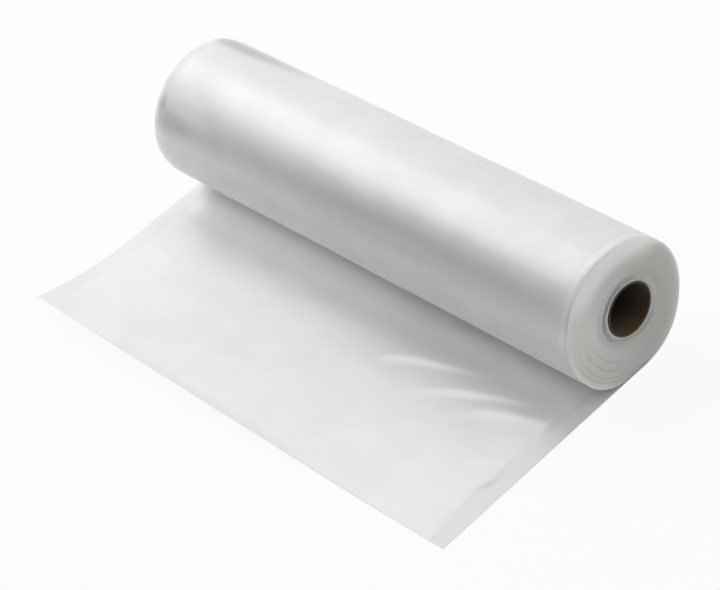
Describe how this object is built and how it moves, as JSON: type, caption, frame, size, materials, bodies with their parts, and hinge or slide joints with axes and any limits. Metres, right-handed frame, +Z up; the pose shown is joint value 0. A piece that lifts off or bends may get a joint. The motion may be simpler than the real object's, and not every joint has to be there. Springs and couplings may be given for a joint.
{
  "type": "roll of vacuum sealer film",
  "caption": "Roll of clear tubular film for vacuum sealing, wound on a cardboard core, with its free end laid flat.",
  "frame": {"origin": "centre of the core tube's bore, half way along the roll", "axes": "+X along the roll, -Y the way the free end of the film points, +Z up from the surface the roll rests on"},
  "size_m": [0.28, 0.1583, 0.069],
  "materials": {
    "core_board": "matte",
    "film_web": "satin"
  },
  "bodies": {
    "root": {"core_tube": "core_board", "film": "film_web"}
  },
  "joints": []
}
